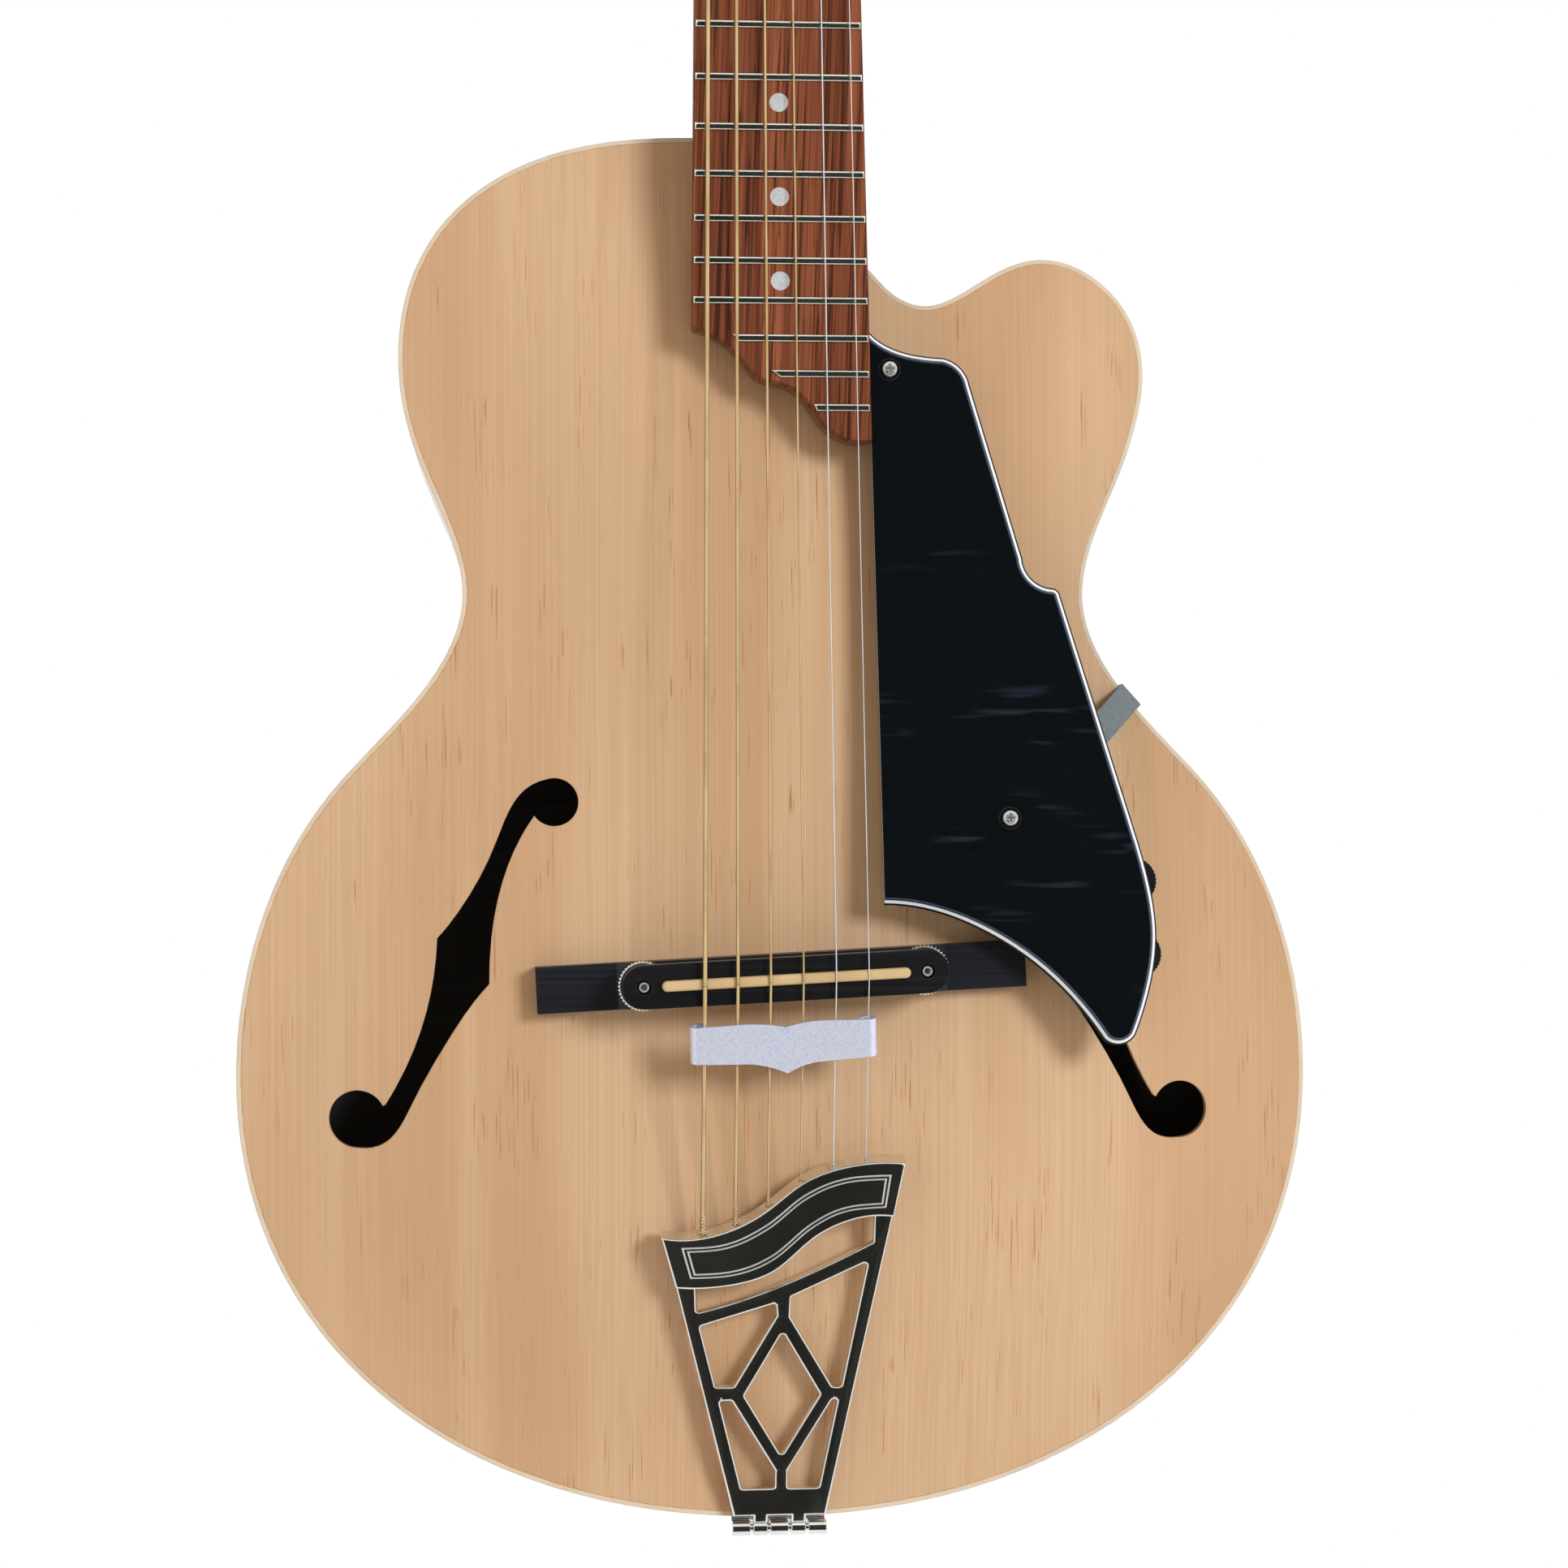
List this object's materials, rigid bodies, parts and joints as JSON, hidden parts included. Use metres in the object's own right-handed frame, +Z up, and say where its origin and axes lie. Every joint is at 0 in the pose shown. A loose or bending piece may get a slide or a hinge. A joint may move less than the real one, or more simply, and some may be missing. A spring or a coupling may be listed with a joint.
{
  "type": "archtop guitar",
  "caption": "Arched-top acoustic guitar with a single cutaway, f-holes, floating bridge with height wheels, hinged tailpiece and geared tuning machines.",
  "frame": {"origin": "where a wall hanger carries the neck, on the centre line just under the wings of the headstock", "axes": "+Z up along the neck towards the headstock, +X towards the treble side and the cutaway, -Y out of the front of the top plate"},
  "size_m": [0.3388, 0.125, 0.9794],
  "materials": {
    "spruce": "clear gloss lacquer over straight-grained spruce",
    "maple": "clear gloss lacquer over figured maple",
    "inner_wood": "bare wood inside the body",
    "rosewood": "oiled, open-pored",
    "ebony": "polished black",
    "cream": "polished cream binding",
    "pearl": "pearloid",
    "bone": "satin, ivory coloured",
    "black_plastic": "gloss black",
    "nickel": "polished nickel",
    "steel": "satin",
    "string_metal": "bronze wound and plain steel",
    "circuit": "board with cased controls"
  },
  "bodies": {
    "guitar": {"top_plate": "spruce", "back_plate": "maple", "rim_sides": "maple", "top_binding": "cream", "back_binding": "cream", "top_lining": "inner_wood", "back_lining": "inner_wood", "neck_block": "inner_wood", "tail_block": "inner_wood", "tone_bars": "inner_wood", "neck": "maple", "headstock_face": "ebony", "heel_cap": "cream", "truss_rod": "steel", "truss_rod_cover": "black_plastic", "fretboard": "rosewood", "frets": "nickel", "dot_inlays": "pearl", "nut": "bone", "string_ends": "string_metal", "tuner_housings": "nickel", "tuner_bushings": "nickel", "headstock_screws": "nickel", "bridge_base": "ebony", "bridge_posts": "nickel", "pickguard": "black_plastic", "pickguard_screws": "nickel", "pickguard_support": "inner_wood", "pickguard_bracket": "steel", "control_board": "circuit", "hinge_plate": "nickel", "tail_screws": "nickel", "hinge_pin": "steel", "end_pin": "nickel"},
    "bridge_saddle": {"bridge_top": "ebony", "saddle": "bone"},
    "bridge_wheel_bass": {"bridge_wheel_bass": "nickel"},
    "bridge_wheel_treble": {"bridge_wheel_treble": "nickel"},
    "tailpiece": {"tailpiece_frame": "nickel", "tailpiece_crossbar": "nickel", "string_tails": "string_metal", "ball_ends": "steel", "string_damper": "steel"},
    "strings": {"strings": "string_metal"},
    "volume_wheel": {"volume_wheel": "black_plastic"},
    "tone_wheel": {"tone_wheel": "black_plastic"},
    "truss_rod_nut": {"truss_rod_nut": "steel"},
    "tuner_post_1": {"tuner_post_1": "nickel"},
    "tuner_button_1": {"tuner_button_1": "nickel"},
    "tuner_post_2": {"tuner_post_2": "nickel"},
    "tuner_button_2": {"tuner_button_2": "nickel"},
    "tuner_post_3": {"tuner_post_3": "nickel"},
    "tuner_button_3": {"tuner_button_3": "nickel"},
    "tuner_post_4": {"tuner_post_4": "nickel"},
    "tuner_button_4": {"tuner_button_4": "nickel"},
    "tuner_post_5": {"tuner_post_5": "nickel"},
    "tuner_button_5": {"tuner_button_5": "nickel"},
    "tuner_post_6": {"tuner_post_6": "nickel"},
    "tuner_button_6": {"tuner_button_6": "nickel"}
  },
  "joints": [
    {"name": "tuner_1_button_turn", "type": "hinge", "parent": "guitar", "child": "tuner_button_1", "pos_m": [-0.022, 0.02114, 0.03982], "axis": [1, 0, 0], "continuous": true},
    {"name": "tuner_1_post_turn", "type": "hinge", "parent": "guitar", "child": "tuner_post_1", "pos_m": [-0.022, 0.00203, 0.03566], "axis": [0, 0.9607, -0.2775], "continuous": true},
    {"name": "tuner_2_button_turn", "type": "hinge", "parent": "guitar", "child": "tuner_button_2", "pos_m": [-0.022, 0.03224, 0.07825], "axis": [1, 0, 0], "continuous": true},
    {"name": "tuner_2_post_turn", "type": "hinge", "parent": "guitar", "child": "tuner_post_2", "pos_m": [-0.022, 0.01313, 0.07409], "axis": [0, 0.9607, -0.2775], "continuous": true},
    {"name": "tuner_3_button_turn", "type": "hinge", "parent": "guitar", "child": "tuner_button_3", "pos_m": [-0.022, 0.04334, 0.11668], "axis": [1, 0, 0], "continuous": true},
    {"name": "tuner_3_post_turn", "type": "hinge", "parent": "guitar", "child": "tuner_post_3", "pos_m": [-0.022, 0.02423, 0.11252], "axis": [0, 0.9607, -0.2775], "continuous": true},
    {"name": "tuner_4_button_turn", "type": "hinge", "parent": "guitar", "child": "tuner_button_4", "pos_m": [0.022, 0.04334, 0.11668], "axis": [1, 0, 0], "continuous": true},
    {"name": "tuner_4_post_turn", "type": "hinge", "parent": "guitar", "child": "tuner_post_4", "pos_m": [0.022, 0.02423, 0.11252], "axis": [0, 0.9607, -0.2775], "continuous": true},
    {"name": "tuner_5_button_turn", "type": "hinge", "parent": "guitar", "child": "tuner_button_5", "pos_m": [0.022, 0.03224, 0.07825], "axis": [1, 0, 0], "continuous": true},
    {"name": "tuner_5_post_turn", "type": "hinge", "parent": "guitar", "child": "tuner_post_5", "pos_m": [0.022, 0.01313, 0.07409], "axis": [0, 0.9607, -0.2775], "continuous": true},
    {"name": "tuner_6_button_turn", "type": "hinge", "parent": "guitar", "child": "tuner_button_6", "pos_m": [0.022, 0.02114, 0.03982], "axis": [1, 0, 0], "continuous": true},
    {"name": "tuner_6_post_turn", "type": "hinge", "parent": "guitar", "child": "tuner_post_6", "pos_m": [0.022, 0.00203, 0.03566], "axis": [0, 0.9607, -0.2775], "continuous": true},
    {"name": "volume_turn", "type": "hinge", "parent": "guitar", "child": "volume_wheel", "pos_m": [0.1086, -0.04416, -0.61467], "axis": [0, 0.9985, -0.0542], "range_deg": [-140, 140]},
    {"name": "tone_turn", "type": "hinge", "parent": "guitar", "child": "tone_wheel", "pos_m": [0.1098, -0.04538, -0.63724], "axis": [0, 0.9985, -0.0542], "range_deg": [-140, 140]},
    {"name": "truss_rod_nut_turn", "type": "hinge", "parent": "guitar", "child": "truss_rod_nut", "pos_m": [0, -0.00379, -0.00981], "axis": [0, 0.0542, 0.9985], "range_deg": [-360, 360]},
    {"name": "bridge_lift", "type": "slide", "parent": "guitar", "child": "bridge_saddle", "axis": [0, -1, 0], "range_m": [-0.0007, 0.0014]},
    {"name": "bridge_wheel_bass_turn", "type": "hinge", "parent": "bridge_saddle", "child": "bridge_wheel_bass", "pos_m": [-0.0433, -0.00974, -0.64618], "axis": [0, -1, 0], "range_deg": [-367.2, 734.4]},
    {"name": "bridge_wheel_treble_turn", "type": "hinge", "parent": "bridge_saddle", "child": "bridge_wheel_treble", "pos_m": [0.0433, -0.00974, -0.64188], "axis": [0, -1, 0], "range_deg": [-367.2, 734.4]},
    {"name": "tailpiece_hinge", "type": "hinge", "parent": "guitar", "child": "tailpiece", "pos_m": [0, -0.01294, -0.81833], "axis": [1, 0, 0], "range_deg": [-0.23471, 0.46941]},
    {"name": "string_rise", "type": "hinge", "parent": "guitar", "child": "strings", "pos_m": [0, -0.0167, -0.01712], "axis": [1, 0, 0], "range_deg": [-0.13053, 0.065267]}
  ],
  "couplings": [
    {"joint": "tuner_1_post_turn", "follows": "tuner_1_button_turn", "ratio": -0.066667},
    {"joint": "tuner_2_post_turn", "follows": "tuner_2_button_turn", "ratio": -0.066667},
    {"joint": "tuner_3_post_turn", "follows": "tuner_3_button_turn", "ratio": -0.066667},
    {"joint": "tuner_4_post_turn", "follows": "tuner_4_button_turn", "ratio": 0.066667},
    {"joint": "tuner_5_post_turn", "follows": "tuner_5_button_turn", "ratio": 0.066667},
    {"joint": "tuner_6_post_turn", "follows": "tuner_6_button_turn", "ratio": 0.066667},
    {"joint": "bridge_wheel_bass_turn", "follows": "bridge_lift", "rad_per_m": 8976},
    {"joint": "bridge_wheel_treble_turn", "follows": "bridge_lift", "rad_per_m": 8976},
    {"joint": "tailpiece_hinge", "follows": "bridge_lift", "rad_per_m": 5.7372},
    {"joint": "string_rise", "follows": "bridge_lift", "rad_per_m": -1.5954}
  ]
}
